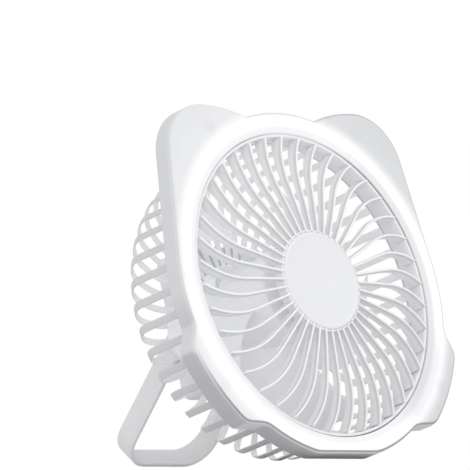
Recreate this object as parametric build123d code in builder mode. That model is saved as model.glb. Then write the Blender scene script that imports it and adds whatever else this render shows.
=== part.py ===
from build123d import *
import os
from math import asin, atan2, cos, degrees, hypot, radians, sin, sqrt, tan

# Portable camping fan with a light ring. Millimetres. The fan leans back on its strap, so it is
# drawn on a tilted plane: local x is the fan's right-hand side, y is up along its face and z points
# out of the front. Depths are measured back from the front face of the light panel.

tilt = 14.35

# light panel and frame
ring_radius = 97
opening_radius = 85.3
foot = 94.3
panel_depth = 4
frame_depth = 13
skin = 2
back_edge = 1
grille_ledge = 9.8
near_posts = (114.4, 136.4)
ear_post = (55.5, 86.5)
lobe_post = (81.5, -56)

# grille, the vanes of the front and the bars of the cage follow one plan
vane_count = 40
vane_straight = 54
vane_curve = 44.6
vane_turn = 43
grille_turn = -0.4
hub_radius = 27.4
cap_pin_circle = 16
sleeve_inner = 83.2
sleeve_outer = 84.8
sleeve_front = 1.6
sleeve_end = 12.8

# cage
cage_turn = -2.9
cage_radius = 84
cage_depth = 62
cage_corner = 12.6
bar_thickness = 1.1
bar_width = 3.7
plate_radius = 29
plate_front = 59
box_posts = (34, 34)
motor_screw_circle = 14
motor_lead_hole = (22.5, -12.5)
lead_angle = 199.9 + cage_turn

# impeller: each blade's front edge is its anticlockwise one and it sweeps back towards the tip
blade_radius = 74
blade_lead = 232
blade_sweep = 0.7
blade_half_angle = 20

# battery box
box_width = 58
box_height = 80
box_back = 84.5
cover_back = 86.5
box_corner = 5
cover_posts = (47, 69)
board_front = 79
board_back = 80.6
fan_button_at = (0, 14)
light_button_at = (0, -6)
socket_depth = 77.4

# strap stand
pivot_depth = 70.5
strap_width = 13.5
strap_thickness = 2.2
strap_half_span = 31.8
strap_length = 92.6
strap_corner = 16.5
strap_edge = 0.5
pin_radius = 3.5

# the foot's back edge and the strap's lower edge both touch the floor
lean = radians(tilt)
centre_z = (foot - back_edge) * cos(lean) + (frame_depth - back_edge) * sin(lean) + back_edge
reach = strap_length - strap_edge
half_strap = strap_width / 2 - strap_edge
drop = centre_z - pivot_depth * sin(lean) - strap_edge
strap_angle = degrees(asin(drop / hypot(reach, half_strap)) - atan2(half_strap, reach)) - tilt
centre_y = -53.77

face = Plane(
    origin=(0, centre_y, centre_z), x_dir=(1, 0, 0), z_dir=(0, -cos(lean), sin(lean))
)
fan_axis = Axis(face.origin, face.z_dir)


def at(depth):
    """The plane parallel to the fan's face at a depth."""
    return face.offset(-depth)


def outward(angle):
    """The direction in the fan's face at an angle from its right-hand side."""
    return face.x_dir * cos(radians(angle)) + face.y_dir * sin(radians(angle))


def section(angle=0):
    """A plane through the fan's axis: x is the radius and y is minus the depth."""
    direction = outward(angle)
    return Plane(face.origin, x_dir=direction, z_dir=direction.cross(face.z_dir))


def side(x):
    """A plane across the strap's pivot: local x runs back and y runs up the face."""
    origin = face.origin + face.x_dir * x - face.z_dir * pivot_depth
    return Plane(origin, x_dir=-face.z_dir, z_dir=face.x_dir)


def socket_plane(drop):
    """A plane across the charging socket, this far below the fan's axis."""
    origin = face.origin - face.z_dir * socket_depth - face.y_dir * drop
    return Plane(origin, x_dir=(1, 0, 0), z_dir=-face.y_dir)


def on_circle(radius, angle):
    return (radius * cos(radians(angle)), radius * sin(radians(angle)))


def panel_shape(depth, inset=0, hole=0):
    """The outline with its two ears, two side lobes and flat foot."""
    ear, ear_radius = (57.5, 69), 30.2
    lobe_radius = 106.1
    normal = degrees(atan2(ear[1], ear[0]))
    across = ring_radius - ear_radius
    normal -= degrees(atan2(sqrt(hypot(*ear) ** 2 - across**2), across))
    ear_top = (ear[0], ear[1] + ear_radius)
    ear_side = tuple(c + d for c, d in zip(ear, on_circle(ear_radius, normal)))
    notch = on_circle(ring_radius, 74.5)
    above, lobe_top = on_circle(ring_radius, -14.9), on_circle(lobe_radius, -20.7)
    lobe_bottom, below = on_circle(lobe_radius, -47.4), on_circle(ring_radius, -54.3)
    foot_end = (sqrt(ring_radius**2 - foot**2), -foot)
    with BuildSketch(at(depth)) as shape:
        with BuildLine():
            ThreePointArc((0, ring_radius), on_circle(ring_radius, 82), notch)
            TangentArc(ear_top, notch, tangent=(-1, 0))
            ThreePointArc(
                ear_top, tuple(c + d for c, d in zip(ear, on_circle(ear_radius, 50))), ear_side
            )
            Line(ear_side, on_circle(ring_radius, normal))
            ThreePointArc(on_circle(ring_radius, normal), (ring_radius, 0), above)
            Line(above, lobe_top)
            ThreePointArc(lobe_top, on_circle(lobe_radius, -34), lobe_bottom)
            Line(lobe_bottom, below)
            ThreePointArc(below, on_circle(ring_radius, -65), foot_end)
            Line(foot_end, (0, -foot))
            mirror(about=Plane.YZ)
        make_face()
        for corner, radius in (
            (notch, 2.5),
            (above, 5),
            (lobe_top, 6),
            (lobe_bottom, 5),
            (below, 6),
            (foot_end, 12),
        ):
            fillet(
                shape.vertices().filter_by(
                    lambda v: abs(abs(v.X) - corner[0]) < 0.05 and abs(v.Y - corner[1]) < 0.05
                ),
                radius=radius,
            )
        if inset:
            offset(amount=-inset)
        if hole:
            Circle(hole, mode=Mode.SUBTRACT)
    return shape.sketch


def vane_plan(depth, start, width, turn):
    """Strips that run straight out from the hub and then curve clockwise to the rim."""
    with BuildSketch(at(depth)) as strip:
        with BuildLine():
            Line((start, 0), (vane_straight, 0))
            JernArc((vane_straight, 0), (1, 0), vane_curve, -vane_turn)
        trace(line_width=width)
    with BuildSketch(at(depth)) as strips:
        with PolarLocations(0, vane_count, start_angle=turn):
            add(strip.sketch_local)
    return strips.sketch


# ---- light ring ----

with BuildPart() as light_panel:
    extrude(panel_shape(0, hole=opening_radius), amount=-panel_depth)
    fillet(
        light_panel.faces().filter_by(face).sort_by(fan_axis)[-1].outer_wire().edges(), radius=skin
    )
    # the face slopes in towards the opening and its edge is rounded
    with BuildSketch(section()):
        with BuildLine():
            slope = opening_radius + 5.7
            Line((slope, 0), (opening_radius + 0.8, -0.7))
            ThreePointArc(
                (opening_radius + 0.8, -0.7), (opening_radius + 0.22, -0.94), (opening_radius, -1.5)
            )
            Polyline(
                (opening_radius, -1.5), (opening_radius - 1, -1.5), (opening_radius - 1, 1),
                (slope, 1), (slope, 0),
            )
        make_face()
    revolve(axis=fan_axis, mode=Mode.SUBTRACT)
    extrude(panel_shape(panel_depth, inset=2.4, hole=88), amount=skin, mode=Mode.SUBTRACT)
    with BuildSketch(at(panel_depth)):
        Circle(86.8)
        Circle(opening_radius, mode=Mode.SUBTRACT)
    extrude(amount=-4.4)
    with BuildSketch(at(skin)):
        with GridLocations(*near_posts, 2, 2):
            Circle(2.6)
        with Locations(*[(s * x, y) for x, y in (ear_post, lobe_post) for s in (-1, 1)]):
            Circle(2.6)
    extrude(amount=-4.4)
    with BuildSketch(at(2.8)):
        with GridLocations(*near_posts, 2, 2):
            Circle(1.15)
        with Locations(*[(s * x, y) for x, y in (ear_post, lobe_post) for s in (-1, 1)]):
            Circle(1.15)
    extrude(amount=-4, mode=Mode.SUBTRACT)

with BuildPart() as front_frame:
    extrude(panel_shape(panel_depth), amount=panel_depth - frame_depth)
    fillet(
        front_frame.faces().filter_by(face).sort_by(fan_axis)[0].outer_wire().edges(),
        radius=back_edge,
    )
    extrude(panel_shape(panel_depth, inset=2.2, hole=88.2), amount=-7, mode=Mode.SUBTRACT)
    with BuildSketch(at(6.5)):
        with GridLocations(*near_posts, 2, 2):
            Circle(2.8)
        with Locations(*[(s * x, y) for x, y in (ear_post, lobe_post) for s in (-1, 1)]):
            Circle(3.6)
    extrude(amount=-5)
    with BuildSketch(at(panel_depth)):
        Circle(87)
    extrude(amount=panel_depth - grille_ledge, mode=Mode.SUBTRACT)
    with BuildSketch(at(panel_depth)):
        Circle(sleeve_outer + 0.2)
    extrude(amount=-12, mode=Mode.SUBTRACT)
    with BuildSketch(at(6)):
        with GridLocations(*near_posts, 2, 2):
            Circle(1.3)
        with Locations(*[(s * x, y) for x, y in (ear_post, lobe_post) for s in (-1, 1)]):
            Circle(1.3)
    extrude(amount=-8, mode=Mode.SUBTRACT)
    with BuildSketch(at(frame_depth)):
        with Locations(*[(s * x, y) for x, y in (ear_post, lobe_post) for s in (-1, 1)]):
            Circle(2.4)
    extrude(amount=1.8, mode=Mode.SUBTRACT)
    with BuildSketch(at(panel_depth)):
        with GridLocations(*near_posts, 2, 2):
            Circle(2.7)
    extrude(amount=-2.5, mode=Mode.SUBTRACT)
    # passage of the light's lead
    with BuildSketch(
        Plane(
            face.origin + outward(lead_angle) * 83 - face.z_dir * 11.6, z_dir=outward(lead_angle)
        )
    ):
        Circle(0.9)
    extrude(amount=7.5, mode=Mode.SUBTRACT)

with BuildPart() as led_board:
    with BuildSketch(at(9.8)):
        Circle(94.2)
        Circle(88.4, mode=Mode.SUBTRACT)
        with GridLocations(*near_posts, 2, 2):
            Circle(3.2, mode=Mode.SUBTRACT)
        with Locations((0, -foot)):
            Rectangle(80, 5.2, mode=Mode.SUBTRACT)
    extrude(amount=-1.2)

with BuildPart() as led_chips:
    with BuildSketch(at(9.8)):
        with PolarLocations(90.3, 36, start_angle=5):
            Rectangle(2.8, 3.5)
    extrude(amount=0.7)

with BuildPart() as led_resistors:
    with BuildSketch(at(9.8)):
        with PolarLocations(90.3, 18):
            Rectangle(0.8, 1.6)
    extrude(amount=0.5)

# ---- grille ----

with BuildPart() as front_grille:
    extrude(vane_plan(-8, hub_radius + 0.2, 1.4, grille_turn), amount=-24)
    with BuildSketch(section()):
        with BuildLine():
            front = ThreePointArc((hub_radius, 5.9), (57, 3.9), (84, 0.2))
            back = ThreePointArc((hub_radius, 0.6), (57, -1), (84, -8.8))
            Line(front @ 0, back @ 0)
            Line(front @ 1, back @ 1)
        make_face()
    revolve(axis=fan_axis, mode=Mode.INTERSECT)
    with BuildSketch(section()):
        with BuildLine():
            Polyline(
                (sleeve_inner, -sleeve_front), (sleeve_outer, -sleeve_front), (sleeve_outer, -8.4),
                (86.8, -8.4),
                (86.8, -grille_ledge), (sleeve_outer, -grille_ledge), (sleeve_outer, -sleeve_end),
                (sleeve_inner, -sleeve_end), close=True,
            )
        make_face()
    revolve(axis=fan_axis)
    # notch for the light's lead
    with BuildSketch(
        Plane(
            face.origin + outward(lead_angle) * (sleeve_inner - 1) - face.z_dir * 12.2,
            x_dir=face.z_dir.cross(outward(lead_angle)),
            z_dir=outward(lead_angle),
        )
    ):
        Rectangle(1.8, 2.8)
    extrude(amount=3, mode=Mode.SUBTRACT)
    with BuildSketch(section()):
        with Locations((hub_radius + 0.6, 1.9)):
            Rectangle(1, 6.4)
    revolve(axis=fan_axis)
    with BuildSketch(at(-1)):
        Circle(hub_radius + 0.6)
        with PolarLocations(cap_pin_circle, 3, start_angle=30):
            Circle(1.6, mode=Mode.SUBTRACT)
    extrude(amount=-2.3)

with BuildPart() as hub_cap:
    with BuildSketch(at(-1)):
        Circle(hub_radius)
    extrude(amount=5)
    fillet(hub_cap.faces().filter_by(face).sort_by(fan_axis)[-1].edges(), radius=1.2)
    with BuildSketch(at(-6)):
        Circle(25)
    extrude(amount=-0.3, mode=Mode.SUBTRACT)
    with BuildSketch(at(-1)):
        with PolarLocations(cap_pin_circle, 3, start_angle=30):
            Circle(1.5)
    extrude(amount=-3.4)

# ---- cage ----

with BuildPart() as rear_cage:
    extrude(
        vane_plan(frame_depth, plate_radius - 3, bar_width, cage_turn),
        amount=frame_depth - cage_depth,
    )
    with BuildSketch(section()):
        with BuildLine():
            corner_z = cage_corner - cage_depth
            inner = cage_radius - bar_thickness
            Polyline(
                (0, -cage_depth + bar_thickness), (cage_radius - cage_corner, bar_thickness - cage_depth)
            )
            RadiusArc(
                (cage_radius - cage_corner, bar_thickness - cage_depth), (inner, corner_z),
                -(cage_corner - bar_thickness),
            )
            Polyline(
                (inner, corner_z), (inner, -frame_depth), (cage_radius, -frame_depth),
                (cage_radius, corner_z),
            )
            RadiusArc(
                (cage_radius, corner_z), (cage_radius - cage_corner, -cage_depth), cage_corner
            )
            Polyline(
                (cage_radius - cage_corner, -cage_depth), (0, -cage_depth), (0, -cage_depth + bar_thickness)
            )
        make_face()
    revolve(axis=fan_axis, mode=Mode.INTERSECT)
    with BuildSketch(at(frame_depth)):
        Circle(87)
        Circle(sleeve_inner + 0.2, mode=Mode.SUBTRACT)
    extrude(amount=-1.2)
    with BuildSketch(at(frame_depth)):
        with GridLocations(*near_posts, 2, 2):
            Circle(4.5)
        Circle(85, mode=Mode.SUBTRACT)
    extrude(amount=-1.8)
    with BuildSketch(at(plate_front)):
        Circle(plate_radius)
    extrude(amount=plate_front - cage_depth)
    with BuildSketch(at(54)):
        with GridLocations(*box_posts, 2, 2):
            Circle(3)
    extrude(amount=-5)
    with BuildSketch(at(12)):
        with GridLocations(*near_posts, 2, 2):
            Circle(1.3)
    extrude(amount=-4, mode=Mode.SUBTRACT)
    with BuildSketch(at(cage_depth)):
        with GridLocations(*box_posts, 2, 2):
            Circle(1.25)
    extrude(amount=6.5, mode=Mode.SUBTRACT)
    with BuildSketch(at(plate_front)):
        with PolarLocations(motor_screw_circle, 3, start_angle=90):
            Circle(1.25)
        with Locations(motor_lead_hole, on_circle(25.7, lead_angle)):
            Circle(1.5)
    extrude(amount=-4, mode=Mode.SUBTRACT)

# ---- motor and impeller ----

with BuildPart() as motor_base:
    for radius, front, back in ((6.4, 20, 33), (7.2, 33, 43), (10, 43, 56), (18, 56, plate_front)):
        with BuildSketch(at(front)):
            Circle(radius)
        extrude(amount=front - back)
    with BuildSketch(at(19)):
        Circle(4)
    extrude(amount=-42, mode=Mode.SUBTRACT)
    with BuildSketch(at(19)):
        Circle(5)
    extrude(amount=-4.5, mode=Mode.SUBTRACT)
    with BuildSketch(at(50)):
        Circle(5)
    extrude(amount=-10, mode=Mode.SUBTRACT)
    with BuildSketch(at(55)):
        with PolarLocations(motor_screw_circle, 3, start_angle=90):
            Circle(1.35)
    extrude(amount=-5, mode=Mode.SUBTRACT)

with BuildPart() as motor_bearings:
    for front in (20.4, 50):
        with BuildSketch(at(front)):
            Circle(4.95)
            Circle(1.55, mode=Mode.SUBTRACT)
        extrude(amount=-3)

with BuildPart() as stator_core:
    with BuildSketch(at(23)):
        Circle(20)
        Circle(17.6, mode=Mode.SUBTRACT)
        with PolarLocations(18, 9, start_angle=20):
            Rectangle(8, 2, mode=Mode.SUBTRACT)
        Circle(9.5)
        with PolarLocations(13.5, 9):
            Rectangle(10, 3.2)
        Circle(6.5, mode=Mode.SUBTRACT)
    extrude(amount=-10)

with BuildPart() as stator_windings:
    with BuildSketch(at(20.4)):
        with PolarLocations(13.6, 9):
            Rectangle(6.8, 6.4)
    extrude(amount=-15.2)
    fillet(stator_windings.edges().filter_by(fan_axis), radius=1)
    with BuildSketch(at(22.9)):
        with PolarLocations(13.6, 9):
            Rectangle(12, 3.4)
    extrude(amount=-10.2, mode=Mode.SUBTRACT)

with BuildPart() as motor_board:
    with BuildSketch(at(41.4)):
        Circle(19)
        Circle(7.3, mode=Mode.SUBTRACT)
    extrude(amount=-1.6)

with BuildPart() as motor_shaft:
    with BuildSketch(at(14.8)):
        Circle(1.5)
    extrude(amount=-40.6)
    with BuildSketch(at(53.3)):
        Circle(2)
        Circle(1.25, mode=Mode.SUBTRACT)
    extrude(amount=-0.7, mode=Mode.SUBTRACT)

with BuildPart() as shaft_clip:
    with BuildSketch(at(53.35)):
        Circle(3.2)
        Circle(1.3, mode=Mode.SUBTRACT)
        with Locations((2, 0)):
            Rectangle(3, 1.8, mode=Mode.SUBTRACT)
    extrude(amount=-0.6)

with BuildPart() as rotor_cup:
    with BuildSketch(at(16.1)):
        Circle(23.9)
    extrude(amount=-22)
    with BuildSketch(at(17.3)):
        Circle(22.7)
    extrude(amount=-22, mode=Mode.SUBTRACT)
    with BuildSketch(at(17.3)):
        Circle(3.6)
    extrude(amount=-2.3)
    with BuildSketch(at(16)):
        Circle(1.52)
    extrude(amount=-6, mode=Mode.SUBTRACT)

with BuildPart() as magnet_ring:
    with BuildSketch(at(19)):
        Circle(22.65)
        Circle(20.5, mode=Mode.SUBTRACT)
    extrude(amount=-17)

with BuildPart() as blade:
    for radius in (18, 38, 58, 80):
        direction = outward(blade_lead + blade_sweep * radius)
        half = radius * tan(radians(blade_half_angle))
        with BuildSketch(
            Plane(
                face.origin + direction * radius, x_dir=face.z_dir.cross(direction), z_dir=direction
            )
        ):
            with BuildLine():
                front = ThreePointArc((-half, -47), (0, -38.5), (half, -23))
                back = ThreePointArc((-half, -49), (0, -40.5), (half, -25))
                Line(front @ 0, back @ 0)
                Line(front @ 1, back @ 1)
            make_face()
    loft()
    with BuildSketch(at(10)):
        Circle(blade_radius)
        Circle(25, mode=Mode.SUBTRACT)
    extrude(amount=-40, mode=Mode.INTERSECT)

with BuildPart() as impeller:
    with BuildSketch(at(14)):
        Circle(26)
    extrude(amount=-35)
    fillet(impeller.faces().filter_by(face).sort_by(fan_axis)[-1].edges(), radius=3)
    with BuildSketch(at(16)):
        Circle(24)
    extrude(amount=-35, mode=Mode.SUBTRACT)
    with BuildSketch(at(16)):
        Circle(1.52)
    extrude(amount=1.3, mode=Mode.SUBTRACT)
    for turn in range(5):
        add(blade.part.rotate(fan_axis, 72 * turn))

with BuildPart() as motor_screws:
    with BuildSketch(at(54.6)):
        with PolarLocations(motor_screw_circle, 3, start_angle=90):
            Circle(2.3)
    extrude(amount=-1.4)
    with BuildSketch(at(56)):
        with PolarLocations(motor_screw_circle, 3, start_angle=90):
            Circle(1.2)
    extrude(amount=-5.6)

# ---- battery box ----

with BuildPart() as box_shell:
    with BuildSketch(at(cage_depth)):
        RectangleRounded(box_width, box_height, box_corner)
    extrude(amount=cage_depth - box_back)
    with BuildSketch(at(64)):
        RectangleRounded(box_width - 4, box_height - 4, box_corner - 2)
    extrude(amount=-24, mode=Mode.SUBTRACT)
    with BuildSketch(at(64)):
        with GridLocations(*cover_posts, 2, 2):
            Circle(4)
    extrude(amount=64 - board_front)
    with BuildSketch(at(board_front)):
        with GridLocations(*cover_posts, 2, 2):
            Circle(3)
    extrude(amount=board_front - box_back)
    with BuildSketch(at(74)):
        with GridLocations(*cover_posts, 2, 2):
            Circle(1.05)
    extrude(amount=-11, mode=Mode.SUBTRACT)
    with BuildSketch(at(61)):
        with GridLocations(*box_posts, 2, 2):
            Circle(1.35)
        with Locations(motor_lead_hole, on_circle(25.7, lead_angle)):
            Circle(1.5)
    extrude(amount=-4, mode=Mode.SUBTRACT)
    with BuildSketch(at(62.8)):
        with GridLocations(*box_posts, 2, 2):
            Circle(2.5)
    extrude(amount=-2, mode=Mode.SUBTRACT)
    with BuildSketch(side(0)):
        Circle(4.4)
    extrude(amount=32, both=True, mode=Mode.SUBTRACT)
    with BuildSketch(socket_plane(36)):
        RectangleRounded(9.4, 3.6, 1.7)
    extrude(amount=6, mode=Mode.SUBTRACT)

with BuildPart() as box_cover:
    with BuildSketch(at(box_back)):
        RectangleRounded(box_width, box_height, box_corner)
    extrude(amount=box_back - cover_back)
    fillet(box_cover.faces().filter_by(face).sort_by(fan_axis)[0].edges(), radius=1.2)
    with BuildSketch(at(box_back - 1)):
        with GridLocations(*cover_posts, 2, 2):
            Circle(1.2)
        with Locations(fan_button_at, light_button_at):
            Circle(5.3)
        with Locations((0, 28)):
            with GridLocations(5, 1, 4, 1):
                Circle(1.05)
    extrude(amount=-4, mode=Mode.SUBTRACT)
    with BuildSketch(at(cover_back)):
        with GridLocations(*cover_posts, 2, 2):
            Circle(2.2)
    extrude(amount=1, mode=Mode.SUBTRACT)

with BuildPart() as battery_pack:
    with BuildSketch(at(64.5)):
        RectangleRounded(40, 60, 2)
    extrude(amount=-9.5)
    fillet(battery_pack.edges().filter_by(face), radius=1)

with BuildPart() as battery_pad:
    with BuildSketch(at(74)):
        Rectangle(30, 44)
    extrude(amount=-1.5)

with BuildPart() as main_board:
    with BuildSketch(at(board_front)):
        RectangleRounded(52, 74, 1)
        with GridLocations(*cover_posts, 2, 2):
            Circle(3.15, mode=Mode.SUBTRACT)
    extrude(amount=board_front - board_back)

with BuildPart() as main_chips:
    with BuildSketch(at(board_back)):
        with Locations((14, 4), (-15, 12)):
            Rectangle(8, 6)
        with Locations((-15, -14)):
            Rectangle(6, 6)
        with Locations((14, -16), (14, -22), (-16, 0)):
            Rectangle(4.5, 2.4)
        with Locations((0, 28)):
            with GridLocations(5, 1, 4, 1):
                Rectangle(1.6, 1.6)
    extrude(amount=-1.1)

with BuildPart() as usb_port:
    with BuildSketch(socket_plane(32)):
        RectangleRounded(9, 3.2, 1.5)
    extrude(amount=7.7)
    with BuildSketch(socket_plane(39.8)):
        RectangleRounded(8.3, 2.5, 1.15)
    extrude(amount=-6.5, mode=Mode.SUBTRACT)
    with BuildSketch(socket_plane(33)):
        Rectangle(6.6, 0.7)
    extrude(amount=5.4)

with BuildPart() as button_switches:
    with BuildSketch(at(board_back)):
        with Locations(fan_button_at, light_button_at):
            Rectangle(6, 6)
    extrude(amount=-1.8)
    with BuildSketch(at(board_back)):
        with Locations(fan_button_at, light_button_at):
            Circle(1.6)
    extrude(amount=-2.1)


def button_cap(place):
    """A round cap with a flange that holds it behind the cover."""
    with BuildPart() as cap:
        with BuildSketch(at(83.6)):
            with Locations(place):
                Circle(6.4)
        extrude(amount=-0.8)
        with BuildSketch(at(84)):
            with Locations(place):
                Circle(5)
        extrude(amount=-3.4)
        fillet(cap.faces().filter_by(face).sort_by(fan_axis)[0].edges(), radius=0.5)
    return cap


fan_button = button_cap(fan_button_at)
light_button = button_cap(light_button_at)

with BuildPart() as charge_lights:
    with BuildSketch(at(81.8)):
        with Locations((0, 28)):
            with GridLocations(5, 1, 4, 1):
                Circle(1)
    extrude(amount=81.8 - cover_back)

with BuildPart() as cover_screws:
    with BuildSketch(at(cover_back - 0.1)):
        with GridLocations(*cover_posts, 2, 2):
            Circle(2.1)
    extrude(amount=0.9)
    with BuildSketch(at(cover_back - 0.5)):
        with GridLocations(*cover_posts, 2, 2):
            Circle(1)
    extrude(amount=10)

with BuildPart() as box_screws:
    with BuildSketch(at(62.8)):
        with GridLocations(*box_posts, 2, 2):
            Circle(2.4)
    extrude(amount=-1.2)
    with BuildSketch(at(63)):
        with GridLocations(*box_posts, 2, 2):
            Circle(1.2)
    extrude(amount=7)

# ---- screws of the frame ----

with BuildPart() as cage_screws:
    with BuildSketch(at(14.8)):
        with GridLocations(*near_posts, 2, 2):
            Circle(2.3)
    extrude(amount=-1.5)
    with BuildSketch(at(15)):
        with GridLocations(*near_posts, 2, 2):
            Circle(1.1)
    extrude(amount=11.6)

with BuildPart() as panel_screws:
    with BuildSketch(at(11.2)):
        with Locations(*[(s * x, y) for x, y in (ear_post, lobe_post) for s in (-1, 1)]):
            Circle(2.3)
    extrude(amount=-1.4)
    with BuildSketch(at(11.5)):
        with Locations(*[(s * x, y) for x, y in (ear_post, lobe_post) for s in (-1, 1)]):
            Circle(1.1)
    extrude(amount=8.1)

# ---- leads ----

with BuildPart() as motor_lead:
    with BuildLine(section(degrees(atan2(motor_lead_hole[1], motor_lead_hole[0])))) as run:
        FilletPolyline((15, -43), (15, -49), (25.74, -52.5), (25.74, -78.9), radius=2.4)
    with BuildSketch(Plane(run.line @ 0, z_dir=run.line % 0)):
        Circle(1.2)
    sweep()

with BuildPart() as led_lead:
    with BuildLine(section(lead_angle)) as run:
        FilletPolyline(
            (89.6, -11.7), (81.1, -11.7), (81.1, -50.5), (72.5, -59.2), (25.7, -57.9), (25.7, -78.9),
            radius=1.6,
        )
    with BuildSketch(Plane(run.line @ 0, z_dir=run.line % 0)):
        Circle(0.7)
    sweep()

# ---- strap stand ----

strap_along = -face.z_dir * cos(radians(strap_angle)) - face.y_dir * sin(radians(strap_angle))
strap_plane = Plane(
    face.origin - face.z_dir * pivot_depth, x_dir=(1, 0, 0), z_dir=face.x_dir.cross(strap_along)
)

with BuildPart() as strap_stand:
    with BuildSketch(strap_plane):
        with BuildLine():
            outer = strap_half_span
            FilletPolyline(
                (-outer, -10), (-outer, strap_length), (outer, strap_length), (outer, -10),
                radius=strap_corner,
            )
            Line((outer, -10), (outer - strap_thickness, -10))
            inner_span = outer - strap_thickness
            FilletPolyline(
                (inner_span, -10), (inner_span, strap_length - strap_thickness),
                (-inner_span, strap_length - strap_thickness), (-inner_span, -10),
                radius=strap_corner - strap_thickness,
            )
            Line((-inner_span, -10), (-outer, -10))
        make_face()
    extrude(amount=strap_width / 2, both=True)
    with BuildSketch(Plane(strap_plane.origin, x_dir=strap_plane.y_dir, z_dir=(1, 0, 0))):
        Circle(strap_width / 2)
        with Locations((60, 0)):
            Rectangle(120, strap_width)
    extrude(amount=40, both=True, mode=Mode.INTERSECT)
    fillet(
        strap_stand.edges().filter_by(
            lambda e: abs(abs(strap_plane.to_local_coords(e @ 0.5).Z) - strap_width / 2) < 0.01
        ),
        radius=strap_edge,
    )
    for x, way in ((inner_span, -1), (-inner_span, 1)):
        with BuildSketch(side(x)):
            Circle(pin_radius)
        extrude(amount=way * 3)
    with BuildSketch(side(0)):
        Circle(1.45)
    extrude(amount=31, both=True, mode=Mode.SUBTRACT)

with BuildPart() as stand_bushes:
    for way in (-1, 1):
        with BuildSketch(side(way * 26.9)):
            Circle(4.35)
        extrude(amount=way * 2.2)
        with BuildSketch(side(way * 29)):
            Circle(6.2)
        extrude(amount=way * 0.5)
    with BuildSketch(side(0)):
        Circle(pin_radius + 0.05)
    extrude(amount=40, both=True, mode=Mode.SUBTRACT)

with BuildPart() as stand_screws:
    for way in (-1, 1):
        with BuildSketch(side(way * 25.2)):
            Circle(5)
        extrude(amount=way * 1.4)
        with BuildSketch(side(way * 26)):
            Circle(1.4)
        extrude(amount=way * 4.8)

pieces = {
    "light_panel": light_panel,
    "front_frame": front_frame,
    "front_grille": front_grille,
    "hub_cap": hub_cap,
    "rear_cage": rear_cage,
    "box_shell": box_shell,
    "box_cover": box_cover,
    "strap_stand": strap_stand,
    "impeller": impeller,
    "led_board": led_board,
    "led_chips": led_chips,
    "led_resistors": led_resistors,
    "led_lead": led_lead,
    "motor_base": motor_base,
    "motor_bearings": motor_bearings,
    "stator_core": stator_core,
    "stator_windings": stator_windings,
    "motor_board": motor_board,
    "rotor_cup": rotor_cup,
    "magnet_ring": magnet_ring,
    "motor_shaft": motor_shaft,
    "shaft_clip": shaft_clip,
    "motor_screws": motor_screws,
    "motor_lead": motor_lead,
    "battery_pack": battery_pack,
    "battery_pad": battery_pad,
    "main_board": main_board,
    "main_chips": main_chips,
    "usb_port": usb_port,
    "button_switches": button_switches,
    "fan_button": fan_button,
    "light_button": light_button,
    "charge_lights": charge_lights,
    "stand_bushes": stand_bushes,
    "stand_screws": stand_screws,
    "cover_screws": cover_screws,
    "box_screws": box_screws,
    "cage_screws": cage_screws,
    "panel_screws": panel_screws,
}

os.makedirs("parts", exist_ok=True)
for name, piece in pieces.items():
    piece.part.label = name
    export_step(piece.part, f"parts/{name}.step")
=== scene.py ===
import math

import bmesh
import bpy
from mathutils import Matrix, Vector

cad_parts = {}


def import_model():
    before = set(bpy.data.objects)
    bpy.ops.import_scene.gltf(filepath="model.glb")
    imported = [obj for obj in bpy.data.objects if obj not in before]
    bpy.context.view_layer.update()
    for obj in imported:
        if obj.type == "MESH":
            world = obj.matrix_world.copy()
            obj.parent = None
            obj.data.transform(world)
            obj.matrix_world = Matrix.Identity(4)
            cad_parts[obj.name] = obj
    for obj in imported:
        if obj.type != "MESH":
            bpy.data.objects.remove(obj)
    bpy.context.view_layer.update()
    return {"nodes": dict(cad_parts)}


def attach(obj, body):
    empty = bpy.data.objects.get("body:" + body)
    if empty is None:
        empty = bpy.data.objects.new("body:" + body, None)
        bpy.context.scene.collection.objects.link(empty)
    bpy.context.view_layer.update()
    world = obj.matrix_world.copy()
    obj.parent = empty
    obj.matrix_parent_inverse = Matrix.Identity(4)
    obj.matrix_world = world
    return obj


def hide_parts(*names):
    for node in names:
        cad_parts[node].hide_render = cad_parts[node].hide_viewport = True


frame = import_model()
nodes = frame["nodes"]

# Points are given in millimetres as (x, up, depth): x to the fan's side, up along its leaning face
# and depth back from the front of the light panel. The same values shape the CAD solids.
TILT = math.radians(14.35)
FACE_UP = Vector((0, math.sin(TILT), math.cos(TILT)))
FACE_OUT = Vector((0, -math.cos(TILT), math.sin(TILT)))
FOOT, BACK_EDGE, FRAME_DEPTH = 94.3, 1.0, 13.0
FACE_Y = -53.77
CENTRE = Vector((
    0,
    FACE_Y,
    (FOOT - BACK_EDGE) * math.cos(TILT) + (FRAME_DEPTH - BACK_EDGE) * math.sin(TILT) + BACK_EDGE,
))


def world(x, up, depth):
    """A point in the scene's metres."""
    return (CENTRE + Vector((x, 0, 0)) + FACE_UP * up - FACE_OUT * depth) / 1000


def polar(radius, angle):
    """A point of the plan, with the angle anticlockwise from the fan's +x side."""
    return radius * math.cos(angle), radius * math.sin(angle)


# ---------------------------------------------------------------- meshes


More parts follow.
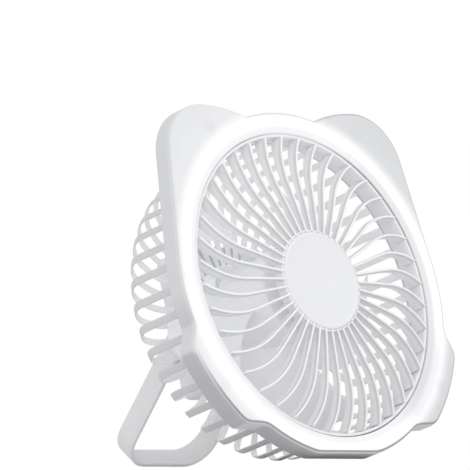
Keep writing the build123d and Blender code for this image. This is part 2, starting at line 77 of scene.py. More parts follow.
def build(name, tubes, material, body, closed=False, sharp=40, to_world=world):
    """One mesh of tubes. A tube is a list of rings, closed to a loop or capped at its ends."""
    mesh = bmesh.new()
    for tube in tubes:
        rows = [[mesh.verts.new(to_world(*point)) for point in ring] for ring in tube]
        pairs = list(zip(rows, rows[1:]))
        if closed:
            pairs.append((rows[-1], rows[0]))
        for one, two in pairs:
            for i in range(len(one)):
                j = (i + 1) % len(one)
                mesh.faces.new((one[i], one[j], two[j], two[i]))
        if not closed:
            mesh.faces.new(rows[0][::-1])
            mesh.faces.new(rows[-1])
    bmesh.ops.recalc_face_normals(mesh, faces=mesh.faces)
    data = bpy.data.meshes.new(name)
    mesh.to_mesh(data)
    mesh.free()
    piece = bpy.data.objects.new(name, data)
    bpy.context.scene.collection.objects.link(piece)
    data.shade_smooth()
    data.set_sharp_from_angle(angle=math.radians(sharp))
    data.materials.append(material)
    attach(piece, body)
    return piece


PIN = 0.5  # a turned piece starts this far from its axis


def turned(profile, steps=180, centre=(0, 0)):
    """Rings round the fan's axis, or one parallel to it, from a closed (radius, depth) profile."""
    rings = []
    for i in range(steps):
        c, s = polar(1, 2 * math.pi * i / steps)
        rings.append([(centre[0] + r * c, centre[1] + r * s, d) for r, d in profile])
    return rings


def rounded(corners, radii, steps=5):
    """A closed outline with arcs in its corners."""
    points = []
    count = len(corners)
    for i, radius in enumerate(radii):
        before, here, after = (Vector(corners[(i + k) % count]) for k in (-1, 0, 1))
        if radius <= 0:
            points.append(tuple(here))
            continue
        one, two = (before - here).normalized(), (after - here).normalized()
        half = one.angle(two) / 2
        start, end = here + one * radius / math.tan(half), here + two * radius / math.tan(half)
        middle = here + (one + two).normalized() * radius / math.sin(half)
        sweep = (start - middle).angle_signed(end - middle)
        for k in range(steps + 1):
            turn = Matrix.Rotation(-sweep * k / steps, 2)
            points.append(tuple(middle + turn @ (start - middle)))
    return points


def collar(inner, outer, front, back, radii):
    """Profile of a turned collar, with the radii of its corners from the inner front one on."""
    return rounded([(inner, front), (outer, front), (outer, back), (inner, back)], radii, 3)


# ---------------------------------------------------------------- outline of the light ring

RING, OPENING = 97.0, 85.3
FLANGE, FLANGE_FRONT = 86.8, 8.4
EAR, EAR_RADIUS, LOBE = (57.5, 69.0), 30.2, 106.1
NOTCH_ANGLE = 74.5
LOBE_START, LOBE_TOP, LOBE_END, LOBE_BACK = -14.9, -20.7, -47.4, -54.3
# How far the smooth curve of each corner reaches, from the notch on top to the foot.
CORNER_REACH = 1.5, 4, 4, 4, 4, 3
STEP, OUTLINE_POINTS = 0.5, 1200


def arc(centre, radius, start, end):
    """Points one STEP apart along an arc, angles in degrees."""
    count = max(2, round(abs(math.radians(end - start)) * radius / STEP))
    points = []
    for i in range(count + 1):
        x, y = polar(radius, math.radians(start + (end - start) * i / count))
        points.append((centre[0] + x, centre[1] + y))
    return points


def line(start, end):
    count = max(2, round(math.dist(start, end) / STEP))
    return [tuple(a + (b - a) * i / count for a, b in zip(start, end)) for i in range(count + 1)]


def joined(runs, reach):
    """Runs of points joined, with a smooth curve of the given reach at each corner."""
    points = []
    for i, run in enumerate(runs):
        first = round(reach[i - 1] / STEP) if i else 0
        last = round(reach[i] / STEP) if i < len(runs) - 1 else 0
        points += run[first: len(run) - last]
        if i < len(runs) - 1:
            start, corner = Vector(points[-1]), Vector(run[-1])
            end = Vector(runs[i + 1][round(reach[i] / STEP)])
            for k in range(1, 8):
                t = k / 8
                points.append(tuple(start * (1 - t) ** 2 + corner * 2 * t * (1 - t) + end * t ** 2))
    return points


def outline():
    """Points and outward normals round the outline, from the top clockwise."""
    spread = math.hypot(*EAR)
    side = math.atan2(EAR[1], EAR[0]) - math.acos((RING - EAR_RADIUS) / spread)
    notch = polar(RING, math.radians(NOTCH_ANGLE))
    top = (EAR[0], EAR[1] + EAR_RADIUS)
    rise, run = top[1] - notch[1], top[0] - notch[0]
    ear_top = (rise ** 2 + run ** 2) / (2 * rise)
    bend = math.degrees(math.asin(run / ear_top))
    ring_side = polar(RING, side)
    ear_side = tuple(c + p for c, p in zip(EAR, polar(EAR_RADIUS, side)))
    lobe_top, lobe_end = (polar(LOBE, math.radians(a)) for a in (LOBE_TOP, LOBE_END))
    above, below = (polar(RING, math.radians(a)) for a in (LOBE_START, LOBE_BACK))
    foot_angle = -math.degrees(math.asin(FOOT / RING))
    half = joined(
        [
            arc((0, 0), RING, 90, NOTCH_ANGLE),
            arc((top[0], top[1] - ear_top), ear_top, 90 + bend, 90)
            + arc(EAR, EAR_RADIUS, 90, math.degrees(side))[1:]
            + line(ear_side, ring_side)[1:]
            + arc((0, 0), RING, math.degrees(side), LOBE_START)[1:],
            line(above, lobe_top),
            arc((0, 0), LOBE, LOBE_TOP, LOBE_END),
            line(lobe_end, below),
            arc((0, 0), RING, LOBE_BACK, foot_angle),
            line(polar(RING, math.radians(foot_angle)), (0, -FOOT)),
        ],
        CORNER_REACH,
    )
    whole = half + [(-x, y) for x, y in half[-2:0:-1]]
    lengths = [0.0]
    for a, b in zip(whole, whole[1:] + whole[:1]):
        lengths.append(lengths[-1] + math.dist(a, b))
    points, k = [], 0
    for i in range(OUTLINE_POINTS):
        target = lengths[-1] * i / OUTLINE_POINTS
        while lengths[k + 1] < target:
            k += 1
        t = (target - lengths[k]) / (lengths[k + 1] - lengths[k])
        a, b = whole[k], whole[(k + 1) % len(whole)]
        points.append((a[0] + (b[0] - a[0]) * t, a[1] + (b[1] - a[1]) * t))
    normals = []
    for i in range(OUTLINE_POINTS):
        a, b = Vector(points[i - 2]), Vector(points[(i + 2) % OUTLINE_POINTS])
        along = (b - a).normalized()
        normals.append((-along.y, along.x))
    return list(zip(points, normals))


OUTLINE = outline()


def outline_ring(inset, depth):
    """The outline, drawn in by an inset."""
    return [(x - nx * inset, y - ny * inset, depth) for (x, y), (nx, ny) in OUTLINE]


def circle_ring(radius, depth):
    """A circle whose points lie in line with the outline's."""
    return [(*polar(radius, math.atan2(y, x)), depth) for (x, y), _ in OUTLINE]


def between(one, two, share):
    """The ring at a share of the way from one ring to another."""
    return [tuple(a + (b - a) * share for a, b in zip(p, q)) for p, q in zip(one, two)]


# ---------------------------------------------------------------- materials

MIX_A, MIX_B, MIX_RESULT = 6, 7, 2  # colour sockets of a Mix node


def plastic(name, colour, roughness=0.45, grain=0.02, bump=0.02):
    """Moulded plastic: slight mottling in colour and roughness and a fine skin texture."""
    material = bpy.data.materials.new(name)
    material.use_nodes = True
    tree = material.node_tree
    shader = tree.nodes["Principled BSDF"]
    place = tree.nodes.new("ShaderNodeTexCoord")
    mottle = tree.nodes.new("ShaderNodeTexNoise")
    mottle.inputs["Scale"].default_value = 35
    mottle.inputs["Detail"].default_value = 4
    tree.links.new(place.outputs["Object"], mottle.inputs["Vector"])
    tint = tree.nodes.new("ShaderNodeMix")
    tint.data_type = "RGBA"
    for socket, change in ((MIX_A, 1 - grain), (MIX_B, 1 + grain)):
        tint.inputs[socket].default_value = (*[min(1, c * change) for c in colour], 1)
    tree.links.new(mottle.outputs["Fac"], tint.inputs["Factor"])
    tree.links.new(tint.outputs[MIX_RESULT], shader.inputs["Base Color"])
    polish = tree.nodes.new("ShaderNodeMapRange")
    polish.inputs["To Min"].default_value = roughness - 0.06
    polish.inputs["To Max"].default_value = roughness + 0.06
    tree.links.new(mottle.outputs["Fac"], polish.inputs["Value"])
    tree.links.new(polish.outputs["Result"], shader.inputs["Roughness"])
    skin = tree.nodes.new("ShaderNodeTexNoise")
    skin.inputs["Scale"].default_value = 2200
    skin.inputs["Detail"].default_value = 2
    tree.links.new(place.outputs["Object"], skin.inputs["Vector"])
    raised = tree.nodes.new("ShaderNodeBump")
    raised.inputs["Strength"].default_value = bump
    raised.inputs["Distance"].default_value = 0.0002
    tree.links.new(skin.outputs["Fac"], raised.inputs["Height"])
    tree.links.new(raised.outputs["Normal"], shader.inputs["Normal"])
    shader.inputs["Specular IOR Level"].default_value = 0.4
    return material


def metal(name, colour, roughness):
    """Bare metal with stronger mottling."""
    material = plastic(name, colour, roughness, grain=0.05, bump=0.05)
    material.node_tree.nodes["Principled BSDF"].inputs["Metallic"].default_value = 1
    return material


def painted_glow(material, strength):
    """Painted light: a white glow of this strength that brightens the whole part."""
    shader = material.node_tree.nodes["Principled BSDF"]
    shader.inputs["Emission Color"].default_value = (1, 1, 1, 1)
    shader.inputs["Emission Strength"].default_value = strength


def lamp_and_painted_glow(material, strength):
    """Glow as strong as the mesh's glow level at each point: the ring of lights on the panel,
    painted light on the cage bars.
    """
    tree = material.node_tree
    shader = tree.nodes["Principled BSDF"]
    glow = tree.nodes.new("ShaderNodeAttribute")
    glow.attribute_name = "glow"
    scaled = tree.nodes.new("ShaderNodeMath")
    scaled.operation = "MULTIPLY"
    scaled.inputs[1].default_value = strength
    shader.inputs["Emission Color"].default_value = (1, 1, 1, 1)
    tree.links.new(glow.outputs["Fac"], scaled.inputs[0])
    tree.links.new(scaled.outputs["Value"], shader.inputs["Emission Strength"])


def darken(tree, share):
    """Multiply the shader's colour by the value of a socket."""
    colour = tree.nodes["Principled BSDF"].inputs["Base Color"]
    darker = tree.nodes.new("ShaderNodeMix")
    darker.data_type, darker.blend_type = "RGBA", "MULTIPLY"
    darker.inputs["Factor"].default_value = 1
    tree.links.new(colour.links[0].from_socket, darker.inputs[MIX_A])
    tree.links.new(share, darker.inputs[MIX_B])
    tree.links.new(darker.outputs[MIX_RESULT], colour)


def shaded(material):
    """Darken the colour by the painted shade stored in the mesh's shade level at each point."""
    tree = material.node_tree
    shade = tree.nodes.new("ShaderNodeAttribute")
    shade.attribute_name = "shade"
    darken(tree, shade.outputs["Color"])


def painted_under_shade(material, least):
    """Painted shade: darken the colour, down to this share, where a side of the ring turns under.
    """
    tree = material.node_tree
    geometry = tree.nodes.new("ShaderNodeNewGeometry")
    parts = tree.nodes.new("ShaderNodeSeparateXYZ")
    tree.links.new(geometry.outputs["Normal"], parts.inputs["Vector"])
    sideways, slant = (tree.nodes.new("ShaderNodeMath") for _ in range(2))
    sideways.operation, slant.operation = "ABSOLUTE", "MULTIPLY"
    tree.links.new(parts.outputs["X"], sideways.inputs[0])
    tree.links.new(sideways.outputs["Value"], slant.inputs[0])
    tree.links.new(parts.outputs["Z"], slant.inputs[1])
    share = tree.nodes.new("ShaderNodeMapRange")
    range_ends = {"From Min": -0.42, "From Max": -0.05, "To Min": least, "To Max": 1}
    for socket, value in range_ends.items():
        share.inputs[socket].default_value = value
    tree.links.new(slant.outputs["Value"], share.inputs["Value"])
    darken(tree, share.outputs["Result"])


def set_level(piece, tubes, name, level):
    """Store level(x, up, depth) at every point of a piece built from these tubes."""
    values = [level(*point) for tube in tubes for ring in tube for point in ring]
    piece.data.attributes.new(name, "FLOAT", "POINT").data.foreach_set("value", values)


def smooth(value, low, high):
    """0 up to low, 1 from high on, and a smooth rise between them."""
    t = min(1.0, max(0.0, (value - low) / (high - low)))
    return t * t * (3 - 2 * t)


# Painted light and shade in these materials: the meshes' glow and shade levels, darkening where
# sides turn under, and a weak painted glow on frame, plate, blades, box and cage bars.
panel_white = plastic("panel_white", (0.71, 0.715, 0.73), 0.4)
lamp_and_painted_glow(panel_white, 0.4)
painted_under_shade(panel_white, 0.68)
shaded(panel_white)
frame_white = plastic("frame_white", (0.62, 0.625, 0.64), 0.4)
painted_under_shade(frame_white, 0.68)
painted_glow(frame_white, 0.04)
grille_white = plastic("grille_white", (0.9, 0.903, 0.915), 0.42)
vane_white = plastic("vane_white", (0.92, 0.922, 0.93), 0.42)
shaded(vane_white)
cap_white = plastic("cap_white", (0.84, 0.845, 0.86), 0.35)
cage_white = plastic("cage_white", (0.72, 0.725, 0.74), 0.38)
bar_white = plastic("bar_white", (0.86, 0.865, 0.88), 0.38)
shaded(bar_white)
lamp_and_painted_glow(bar_white, 0.1)
# The plate's plastic is a brighter copy of the cage's, with painted glow for the parts deep inside
# the cage.
plate_white = plastic("plate_white", (0.8, 0.805, 0.82), 0.4)
painted_glow(plate_white, 0.2)
strap_white = plastic("strap_white", (0.77, 0.775, 0.785), 0.42)
blade_white = plastic("blade_white", (0.88, 0.885, 0.9), 0.4)
painted_glow(blade_white, 0.04)
box_white = plastic("box_white", (0.7, 0.705, 0.72), 0.42)
painted_glow(box_white, 0.08)
lead_white = plastic("lead_white", (0.7, 0.7, 0.71), 0.5)

# ---------------------------------------------------------------- light panel

QUARTER = [i * math.pi / 12 for i in range(7)]
SLOPE = OPENING + 5.7
PANEL_BACK, RIM = 4, 2
face_edge = outline_ring(RIM, 0)
lip = circle_ring(SLOPE + 0.6, 0)
panel_rings = [outline_ring(0, PANEL_BACK), outline_ring(0, 3)]
panel_rings += [outline_ring(RIM - RIM * math.cos(a), RIM - RIM * math.sin(a)) for a in QUARTER]
panel_rings += [between(face_edge, lip, i / 12) for i in range(1, 13)]
panel_rings += [
    circle_ring(r, depth)
    for r, depth in (
        (SLOPE, 0.02), (SLOPE - 0.7, 0.1), (SLOPE - 2.8, 0.4), (OPENING + 1.2, 0.64),
        (OPENING + 0.75, 0.72), (OPENING + 0.4, 0.86), (OPENING + 0.15, 1.1), (OPENING, 1.5),
        (OPENING, 3), (OPENING, FLANGE_FRONT), (FLANGE, FLANGE_FRONT), (FLANGE, PANEL_BACK),
    )
]

# Posts behind the panel, on both sides: two hold the cage and two hold the panel.
CAGE_POST = 57.2, 68.2
POSTS = CAGE_POST, (57.2, -68.2), (55.5, 86.5), (81.5, -56)
POST_SHADOW = 0.12
ON_SLOPE = SLOPE + 0.7


def panel_glow(x, up, depth):
    """Full over the ring of lights, weaker in ears and lobes, least on the rounded rim, with
    painted shade: more on the right, painted shadows of the posts, and a line on the rim.
    """
    r = math.hypot(x, up)
    # The ears and lobes on the right side get more painted shade than those on the left.
    if up > 0:
        level = 1 - smooth(r, 90.5, 102) * (0.95 if x > 0 else 0.72) - 0.1 * smooth(r, 104, 118)
    else:
        level = 1 - smooth(r, 92, 103) * (1.0 if x > 0 else 0.62)
    for post_x, post_up in POSTS:
        level -= POST_SHADOW * (1 - smooth(math.hypot(abs(x) - post_x, up - post_up), 1.5, 6))
    level = max(0, level)
    # Painted shade: the ring is dimmer at the lower right, and its slope along the whole right
    # side.
    level *= 1 - 0.5 * smooth(-up, 15, 45) * smooth(x, 35, 65) * (1 - smooth(r, 92, 97))
    level *= 1 - 0.48 * smooth(x, 35, 70) * smooth(SLOPE - r, 0, 2.5)
    if r < ON_SLOPE:
        # Painted shade: the wall of the opening is dark on the lower right half.
        painted_wall_shade = smooth(0.87 * x - 0.5 * up, -20, 20) * smooth(depth, 0.75, 1.5)
        return level * (1 - 0.45 * smooth(SLOPE - r, -0.6, 3)) * (1 - painted_wall_shade)
    return level * (1 - smooth(depth, 0.5, 1.9)) * (1 - painted_rim_shade(x, up, depth))


def painted_rim_shade(x, up, depth):
    """A thin line of painted shade on the rounded rim, weak at the upper left."""
    drop = smooth(depth, 0.01, 0.2) * (1 - smooth(depth, 0.5, 1.2))
    upper_left = smooth(-x, 10, 50) * smooth(up, -70, -30)
    return drop * (1 - 0.9 * upper_left) * (1 - 0.55 * smooth(up, 30, 70) * smooth(-x, -80, -40))


def panel_shade(x, up, depth):
    """Painted shade along the rim's line; the slope round the opening keeps its colour."""
    if math.hypot(x, up) < ON_SLOPE:
        return 1.0
    return 1 - 0.55 * painted_rim_shade(x, up, depth)


panel = build("light_panel_skin", [panel_rings], panel_white, "housing", closed=True)
set_level(panel, [panel_rings], "glow", panel_glow)
set_level(panel, [panel_rings], "shade", panel_shade)
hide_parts("light_panel")

# ---------------------------------------------------------------- grille

VANES = 40
GRILLE_TURN, CAGE_TURN = math.radians(-0.4), math.radians(-2.9)
# A vane's plan is straight to this radius, then an arc of radius CURVE that turns by TURN.
STRAIGHT, CURVE, TURN = 54.0, 44.6, math.radians(41)
HUB, SLEEVE_FRONT, SLEEVE_END = 27.4, 1.6, 12.8
SLEEVE_INNER, SLEEVE_OUTER = 83.2, 84.8


def through(points, r):
    """Value at a radius of the parabola through three (radius, value) points."""
    total = 0
    for i, (ri, zi) in enumerate(points):
        term = zi
        for j, (rj, _) in enumerate(points):
            if i != j:
                term *= (r - rj) / (ri - rj)
        total += term
    return total


def vane_point(length):
    """Place and direction at a length along a vane's plan, from the fan's centre."""
    if length <= STRAIGHT:
        return (length, 0), (1, 0)
    a = (length - STRAIGHT) / CURVE
    return (STRAIGHT + CURVE * math.sin(a), CURVE * (math.cos(a) - 1)), (math.cos(a), -math.sin(a))


def vane_front(r):
    """Height of the vanes' front edge over the panel's front."""
    return through(((HUB, 5.9), (57, 3.9), (84, 0.2)), r)


def vane_back(r):
    """Height of their back edge, which lies behind the panel's front further out."""
    return through(((HUB, 0.6), (57, -1.0), (84, -8.8)), r)


def turn_plan(point, angle):
    """A point of the plan, turned round the fan's axis."""
    c, s = polar(1, angle)
    return point[0] * c - point[1] * s, point[0] * s + point[1] * c


def vane(index):
    """A curved vane that grows a little thicker from its front edge to its back edge."""
    angle = 2 * math.pi * index / VANES + GRILLE_TURN
    length_end = STRAIGHT + CURVE * (TURN - 0.02)
    stations = [HUB + 0.1 + (length_end - HUB - 0.5) * i / 30 for i in range(31)]
    rings = []
    for length in stations:
        (px, py), (dx, dy) = vane_point(length)
        r = math.hypot(px, py)
        front, back = vane_front(r), vane_back(r)
        section = rounded(
            [
                (-0.62, front), (0.62, front), (0.65, front - 1.4), (0.69, front - 3), (0.75, back),
                (-0.75, back), (-0.69, front - 3), (-0.65, front - 1.4),
            ],
            (0.5, 0.5, 0, 0, 0.3, 0.3, 0, 0), 3,
        )
        ring = []
        for a, n in section:
            ring.append((*turn_plan((px - dy * a, py + dx * a), angle), -n))
        rings.append(ring)
    return rings


def vane_shade(x, up, depth):
    """Painted shade, darkest just behind a vane's front edge."""
    behind = depth + vane_front(math.hypot(x, up))
    return 1 - 0.26 * smooth(behind, 0.15, 0.6) * (1 - smooth(behind, 1.2, 3.4))


vane_rings = [vane(i) for i in range(VANES)]
vanes = build("grille_vanes", vane_rings, vane_white, "housing", sharp=60)
set_level(vanes, vane_rings, "shade", vane_shade)
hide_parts("front_grille")
ring_profile = rounded(
    [
        (SLEEVE_INNER, SLEEVE_FRONT), (SLEEVE_OUTER, SLEEVE_FRONT),
        (SLEEVE_OUTER, FLANGE_FRONT), (FLANGE, FLANGE_FRONT),
        (FLANGE, FLANGE_FRONT + 1.4), (SLEEVE_OUTER, FLANGE_FRONT + 1.4),
        (SLEEVE_OUTER, SLEEVE_END), (SLEEVE_INNER, SLEEVE_END),
    ],
    (0.5, 0.3, 0, 0.2, 0.2, 0, 0.3, 0.3), 3,
)
grille_ring = build(
    "grille_ring", [turned(ring_profile, 360)], grille_white, "housing", closed=True
)
HUB_FLOOR, HUB_LIP, HUB_BACK = -0.95, -5.1, 1.3
hub_profile = rounded(
    [
        (PIN, HUB_FLOOR), (HUB + 0.05, HUB_FLOOR), (HUB + 0.05, HUB_LIP),
        (HUB + 1.1, HUB_LIP), (HUB + 1.1, HUB_BACK), (PIN, HUB_BACK),
    ],
    (0, 0, 0.3, 0.3, 0.4, 0), 3,
)
grille_hub = build("grille_hub", [turned(hub_profile)], grille_white, "housing", closed=True)

CAP_FRONT, CAP_SUNK, CAP_BACK, CAP_EDGE = -6, -5.7, -1, 1.2
cap_profile = [(0.05, CAP_SUNK), (24.6, CAP_SUNK), (25.0, -5.75), (25.2, -5.9), (25.5, CAP_FRONT)]
cap_profile += [
    (HUB - CAP_EDGE + CAP_EDGE * math.sin(a), CAP_FRONT + CAP_EDGE - CAP_EDGE * math.cos(a))
    for a in QUARTER
]
cap_profile += [(HUB, CAP_BACK), (0.05, CAP_BACK)]
cap = build("hub_cap_disc", [turned(cap_profile, 240)], cap_white, "housing", closed=True)
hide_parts("hub_cap")

# ---------------------------------------------------------------- cage

CAGE, DEPTH, CORNER, BAR, WIDTH = 84.0, 62.0, 12.6, 1.1, 3.7
OUTER_SHADE = 0.74
PLATE, PLATE_FRONT, BOX_POST = 29.0, 59.0, 17


def plan_at(r):
    """Angle of a vane's plan line at a radius, and its slant there to the radial direction."""
    low, high = 0.0, math.radians(43)
    if r <= STRAIGHT:
        return 0.0, 0.0
    for _ in range(30):
        middle = (low + high) / 2
        if math.hypot(STRAIGHT + CURVE * math.sin(middle), CURVE * (1 - math.cos(middle))) < r:
            low = middle
        else:
            high = middle
    angle = -math.atan2(CURVE * (1 - math.cos(low)), STRAIGHT + CURVE * math.sin(low))
    return angle, low + angle


def bar_path():
    """Stations of a bar on the cage's middle surface: radius, depth and the surface's normal."""
    start, straight = FRAME_DEPTH + 0.2, DEPTH - CORNER - FRAME_DEPTH - 0.2
    path = [(CAGE - BAR / 2, start + straight * i / 8, 0.0) for i in range(9)]
    for i in range(1, 13):
        a = math.pi / 2 * i / 12
        path.append((
            CAGE - CORNER + (CORNER - BAR / 2) * math.cos(a),
            DEPTH - CORNER + (CORNER - BAR / 2) * math.sin(a),
            a,
        ))
    inner, outer = PLATE - 2.5, CAGE - CORNER
    path += [(outer + (inner - outer) * i / 14, DEPTH - BAR / 2, math.pi / 2) for i in range(1, 15)]
    return path


def bar(index):
    """A flat bar from the frame round the cage's corner to its plate."""
    rings = []
    for r, depth, lean in bar_path():
        angle, slant = plan_at(r)
        angle += 2 * math.pi * index / VANES + CAGE_TURN
        half = WIDTH / math.cos(slant) / 2
        section = rounded(
            [(-half, -BAR / 2), (half, -BAR / 2), (half, BAR / 2), (-half, BAR / 2)], (0.45,) * 4, 3
        )
        across = (-math.sin(angle), math.cos(angle))
        ring = []
        for a, n in section:
            radius = r + n * math.cos(lean)
            x, y = polar(radius, angle)
            ring.append((x + across[0] * a, y + across[1] * a, depth + n * math.sin(lean)))
        rings.append(ring)
    return rings


def bar_inside(x, up, depth):
    """1 on the inner faces of the bars and 0 outside."""
    r = math.hypot(x, up)
    if depth > DEPTH - CORNER and r > CAGE - CORNER:
        surface = math.hypot(r - CAGE + CORNER, depth - DEPTH + CORNER) - CORNER
    else:
        surface = max(r - CAGE, depth - DEPTH)
    return smooth(-surface, 0.3, 0.8)


def bar_shade(x, up, depth):
    """Painted shade: the bars' outer faces are a darker grey than their inner ones."""
    return OUTER_SHADE + (1 - OUTER_SHADE) * bar_inside(x, up, depth)


bar_rings = [bar(i) for i in range(VANES)]
bars = build("cage_bars", bar_rings, bar_white, "housing", sharp=60)
# Painted light: the bars' inner faces glow and their outer faces get painted shade.
set_level(bars, bar_rings, "glow", bar_inside)
set_level(bars, bar_rings, "shade", bar_shade)
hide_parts("rear_cage")
base = collar(inner=83.4, outer=87, front=FRAME_DEPTH, back=14.2, radii=(0, 0, 0.4, 0.3))
cage_base = build("cage_base", [turned(base, 360)], cage_white, "housing", closed=True)
lug = collar(inner=0.3, outer=4.5, front=FRAME_DEPTH + 0.02, back=14.8, radii=(0, 0, 0.5, 0))
boss = collar(inner=1.25, outer=3, front=54, back=60, radii=(0.2, 0.4, 0, 0))
lugs, bosses = [], []
for side in (1, -1):
    for height in (1, -1):
        lugs.append(turned(lug, 48, (CAGE_POST[0] * side, CAGE_POST[1] * height)))
        bosses.append(turned(boss, 40, (BOX_POST * side, BOX_POST * height)))
cage_lugs = build("cage_lugs", lugs, cage_white, "housing", closed=True)
cage_bosses = build("cage_bosses", bosses, plate_white, "housing", closed=True)
plate = collar(inner=PIN, outer=PLATE, front=PLATE_FRONT, back=DEPTH, radii=(0, 0.6, 0.6, 0))
cage_plate = build("cage_plate", [turned(plate)], plate_white, "housing", closed=True)

# ---------------------------------------------------------------- strap stand

PIVOT_DEPTH, STRAP_WIDTH, STRAP_THICK, SPAN = 70.5, 13.5, 2.2, 31.8
STRAP_LENGTH, STRAP_CORNER, STRAP_EDGE = 92.6, 16.5, 0.5
reach = math.hypot(STRAP_LENGTH - STRAP_EDGE, STRAP_WIDTH / 2 - STRAP_EDGE)
drop = CENTRE.z - PIVOT_DEPTH * math.sin(TILT) - STRAP_EDGE
STRAP_ANGLE = (
    math.asin(drop / reach)
    - math.atan2(STRAP_WIDTH / 2 - STRAP_EDGE, STRAP_LENGTH - STRAP_EDGE)
    - TILT
)


def strap_world(x, along, across):
    """A point of the strap: along its length from the pivot and across its width."""
    c, s = math.cos(STRAP_ANGLE), math.sin(STRAP_ANGLE)
    return world(x, -along * s + across * c, PIVOT_DEPTH + along * c + across * s)


def strap_rings():
    """The strap from one pivot round its loop to the other, with rounded pivot ends."""
    half, thick = STRAP_WIDTH / 2, STRAP_THICK / 2
    middle, corner = SPAN - STRAP_THICK / 2, STRAP_CORNER - STRAP_THICK / 2
    bend_at = STRAP_LENGTH - STRAP_CORNER
    turns = [k * math.pi / 20 for k in range(1, 11)]
    path = [(middle, -half * math.cos(a), (1, 0), half * math.sin(a)) for a in turns]
    path += [(middle, bend_at * k / 10, (1, 0), half) for k in range(1, 10)]
    for k in range(13):
        c, s = polar(1, math.pi / 2 * k / 12)
        path.append((middle - corner + corner * c, bend_at + corner * s, (c, s), half))
    path += [((middle - corner) * (1 - k / 6), bend_at + corner, (0, 1), half) for k in range(1, 7)]
    path += [(-x, along, (-nx, ny), wide) for x, along, (nx, ny), wide in path[-2::-1]]
    rings = []
    for x, along, (nx, ny), wide in path:
        edge = min(STRAP_EDGE, wide * 0.45)
        section = rounded(
            [(-wide, -thick), (wide, -thick), (wide, thick), (-wide, thick)], (edge,) * 4, 3
        )
        rings.append([(x + nx * n, along + ny * n, v) for v, n in section])
    return rings


strap = build("strap", [strap_rings()], strap_white, "stand", to_world=strap_world)
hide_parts("strap_stand")

# ---------------------------------------------------------------- impeller

BLADES = 5
BLADE_TIP, BLADE_ROOT, BLADE_WIDE = 74.0, 25.2, math.radians(40)
BLADE_LEAD, BLADE_SWEEP, BLADE_ROUND = 252, 0.7, 9
BLADE_FRONT, BLADE_PITCH, BLADE_BELLY = 24, 24, 14


def blade(index):
    """A blade swept back to its rounded tip; its front edge is the anticlockwise one."""
    rings = []
    count = 16
    for k in range(24):
        r = BLADE_ROOT + (BLADE_TIP - 0.1 - BLADE_ROOT) * k / 23
        front_edge = math.radians(BLADE_LEAD + BLADE_SWEEP * r + 360 / BLADES * index)
        near_tip = max(0, 1 - (BLADE_TIP - r) / BLADE_ROUND)
        trim = BLADE_ROUND * (1 - math.sqrt(1 - near_tip ** 2)) / r
        wide = BLADE_WIDE - 2 * trim
        ring = []
        for side in (1, -1):
            for i in range(count + 1):
                j = i / count if side == 1 else 1 - i / count
                share = (trim + wide * j) / BLADE_WIDE
                middle = BLADE_FRONT + BLADE_PITCH * share + BLADE_BELLY * share * (1 - share)
                thick = 0.25 + 0.75 * min(1, 5 * j, 5 * (1 - j)) ** 0.5
                angle = front_edge - trim - wide * j
                x, y = polar(r, angle)
                ring.append((x, y, middle - side * thick))
        rings.append(ring)
    return rings


blades = build("blades", [blade(i) for i in range(BLADES)], blade_white, "impeller", sharp=60)
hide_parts("impeller")
BOWL, BOWL_FRONT, BOWL_BACK, BOWL_WALL, BOWL_EDGE = 26, 14, 49, 2, 3
bowl = [(PIN, BOWL_FRONT), (BOWL - BOWL_EDGE, BOWL_FRONT)]
bowl += [
    (BOWL - BOWL_EDGE * (1 - math.sin(a)), BOWL_FRONT + BOWL_EDGE * (1 - math.cos(a)))
    for a in QUARTER[1:]
]
bowl += [(BOWL, BOWL_BACK), (BOWL - BOWL_WALL, BOWL_BACK)]
bowl += [(BOWL - BOWL_WALL, BOWL_FRONT + BOWL_WALL), (PIN, BOWL_FRONT + BOWL_WALL)]
hub = build("impeller_hub", [turned(bowl)], blade_white, "impeller", closed=True)

# ---------------------------------------------------------------- CAD nodes that stay

board_green = plastic("board_green", (0.03, 0.16, 0.08), 0.35)
board_white = plastic("board_white", (0.85, 0.85, 0.82), 0.4)
chip_black = plastic("chip_black", (0.02, 0.02, 0.022), 0.4)
steel = metal("steel", (0.55, 0.55, 0.57), 0.3)
screw_white = plastic("screw_white", (0.85, 0.855, 0.87), 0.35)
copper = metal("copper", (0.72, 0.33, 0.16), 0.35)
dark_plastic = plastic("dark_plastic", (0.05, 0.05, 0.055), 0.45)
cell_blue = plastic("cell_blue", (0.05, 0.16, 0.4), 0.3)
phosphor = plastic("phosphor", (0.9, 0.75, 0.25), 0.3)
button_grey = plastic("button_grey", (0.5, 0.51, 0.53), 0.4)
clear_pipe = plastic("clear_pipe", (0.7, 0.76, 0.8), 0.15)

for node, material in {
    "front_frame": frame_white,
    "box_shell": box_white,
    "box_cover": box_white,
    "led_board": board_white,
    "led_chips": phosphor,
    "led_resistors": chip_black,
    "led_lead": lead_white,
    "motor_base": plate_white,
    "motor_bearings": steel,
    "stator_core": steel,
    "stator_windings": copper,
    "motor_board": board_green,
    "rotor_cup": steel,
    "magnet_ring": dark_plastic,
    "motor_shaft": steel,
    "shaft_clip": steel,
    "motor_screws": steel,
    "motor_lead": lead_white,
    "battery_pack": cell_blue,
    "battery_pad": dark_plastic,
    "main_board": board_green,
    "main_chips": chip_black,
    "usb_port": steel,
    "button_switches": chip_black,
    "fan_button": button_grey,
    "light_button": button_grey,
    "charge_lights": clear_pipe,
    "stand_bushes": button_grey,
    "stand_screws": steel,
    "cover_screws": steel,
    "box_screws": screw_white,
    "cage_screws": steel,
    "panel_screws": steel,
}.items():
    for slot in nodes[node].material_slots:
        slot.material = material

# ---------------------------------------------------------------- floor, light and camera


FLOOR = 3


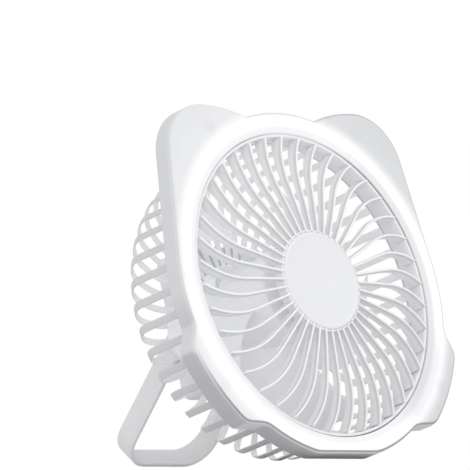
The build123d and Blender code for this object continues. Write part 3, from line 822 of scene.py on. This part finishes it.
def floor():
    """Pale floor. Its underside is open to the camera, which looks up from just below it."""
    data = bpy.data.meshes.new("floor")
    corners = [(x * FLOOR, y * FLOOR, 0) for x, y in ((-1, -1), (1, -1), (1, 1), (-1, 1))]
    data.from_pydata(corners, [], [(0, 1, 2, 3)])
    piece = bpy.data.objects.new("floor", data)
    bpy.context.scene.collection.objects.link(piece)
    material = bpy.data.materials.new("floor_white")
    material.use_nodes = True
    tree = material.node_tree
    shader = tree.nodes["Principled BSDF"]
    shader.inputs["Base Color"].default_value = (0.85, 0.85, 0.86, 1)
    shader.inputs["Roughness"].default_value = 0.6
    geometry = tree.nodes.new("ShaderNodeNewGeometry")
    clear = tree.nodes.new("ShaderNodeBsdfTransparent")
    mix = tree.nodes.new("ShaderNodeMixShader")
    tree.links.new(geometry.outputs["Backfacing"], mix.inputs["Fac"])
    tree.links.new(shader.outputs["BSDF"], mix.inputs[1])
    tree.links.new(clear.outputs["BSDF"], mix.inputs[2])
    tree.links.new(mix.outputs["Shader"], tree.nodes["Material Output"].inputs["Surface"])
    data.materials.append(material)


floor()

STUDIO, BACKDROP = 0.86, 1.0
world_light = bpy.data.worlds.new("studio")
bpy.context.scene.world = world_light
world_light.use_nodes = True
tree = world_light.node_tree
background = tree.nodes["Background"]
background.inputs["Color"].default_value = (1, 1, 1, 1)
path = tree.nodes.new("ShaderNodeLightPath")
strength = tree.nodes.new("ShaderNodeMapRange")
strength.inputs["To Min"].default_value = STUDIO
strength.inputs["To Max"].default_value = BACKDROP
tree.links.new(path.outputs["Is Camera Ray"], strength.inputs["Value"])
tree.links.new(strength.outputs["Result"], background.inputs["Strength"])


AIM_HEIGHT = 0.09


def lamp(name, place, size, power):
    """A square lamp that points at the fan's middle."""
    light = bpy.data.lights.new(name, "AREA")
    light.size = size
    light.energy = power
    piece = bpy.data.objects.new(name, light)
    bpy.context.scene.collection.objects.link(piece)
    piece.location = place
    aim = Vector((0, 0, AIM_HEIGHT)) - Vector(place)
    piece.rotation_euler = aim.to_track_quat("-Z", "Y").to_euler()


lamp("key", (0.3, -0.9, 1.3), 0.8, 2.5)
lamp("fill", (-1.2, -0.5, 0.7), 1.0, 1.2)
lamp("front", (-1.15, -1.1, 0.06), 0.7, 3.5)

# The camera stands in this direction from the fan's centre, moved so much to its own left and up.
AZIMUTH, ELEVATION, ROLL = math.radians(-44.523), math.radians(-3.697), math.radians(-1.158)
DISTANCE, LENS, SENSOR = 3.108, 444.3, 36.0
LEFT, ABOVE = 0.042966, 0.025914
back = Vector((
    math.sin(AZIMUTH) * math.cos(ELEVATION),
    -math.cos(AZIMUTH) * math.cos(ELEVATION),
    math.sin(ELEVATION),
))
right = Vector((math.cos(AZIMUTH), math.sin(AZIMUTH), 0))
up = back.cross(right)
right, up = (
    right * math.cos(ROLL) + up * math.sin(ROLL),
    up * math.cos(ROLL) - right * math.sin(ROLL),
)
camera_data = bpy.data.cameras.new("camera")
camera_data.lens, camera_data.sensor_width = LENS, SENSOR
camera = bpy.data.objects.new("camera", camera_data)
bpy.context.scene.collection.objects.link(camera)
place = CENTRE / 1000 + back * DISTANCE - right * LEFT + up * ABOVE
camera.matrix_world = Matrix((
    (right.x, up.x, back.x, place.x),
    (right.y, up.y, back.y, place.y),
    (right.z, up.z, back.z, place.z),
    (0, 0, 0, 1),
))
bpy.context.scene.camera = camera
bpy.context.scene.view_settings.view_transform = "Standard"
